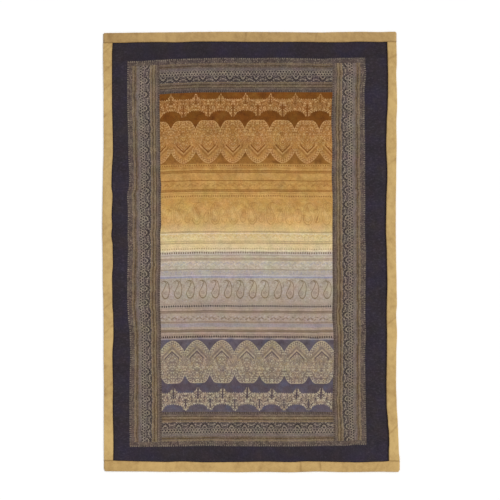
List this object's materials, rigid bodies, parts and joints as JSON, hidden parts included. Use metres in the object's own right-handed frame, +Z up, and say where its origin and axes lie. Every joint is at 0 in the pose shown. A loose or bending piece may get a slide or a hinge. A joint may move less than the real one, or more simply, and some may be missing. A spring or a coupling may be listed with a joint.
{
  "type": "throw blanket",
  "caption": "Flat padded throw blanket with a printed, quilted face and a folded tan strip sewn over every edge.",
  "frame": {"origin": "under the middle of the throw, on the surface that it lies on", "axes": "+X across the throw, to the right of its face; +Y along it, to the brown end of the print; +Z up, out of the printed face"},
  "size_m": [1.4204, 2.1044, 0.0072],
  "materials": {
    "printed_cloth": "soft matt printed cotton, finely quilted, brown and gold at one end through cream and grey to plum at the other, in a dark violet border",
    "binding": "tan cotton satin with a low sheen"
  },
  "bodies": {
    "root": {"quilt_panel": "printed_cloth", "binding_top": "binding", "binding_bottom": "binding", "binding_left": "binding", "binding_right": "binding"}
  },
  "joints": []
}
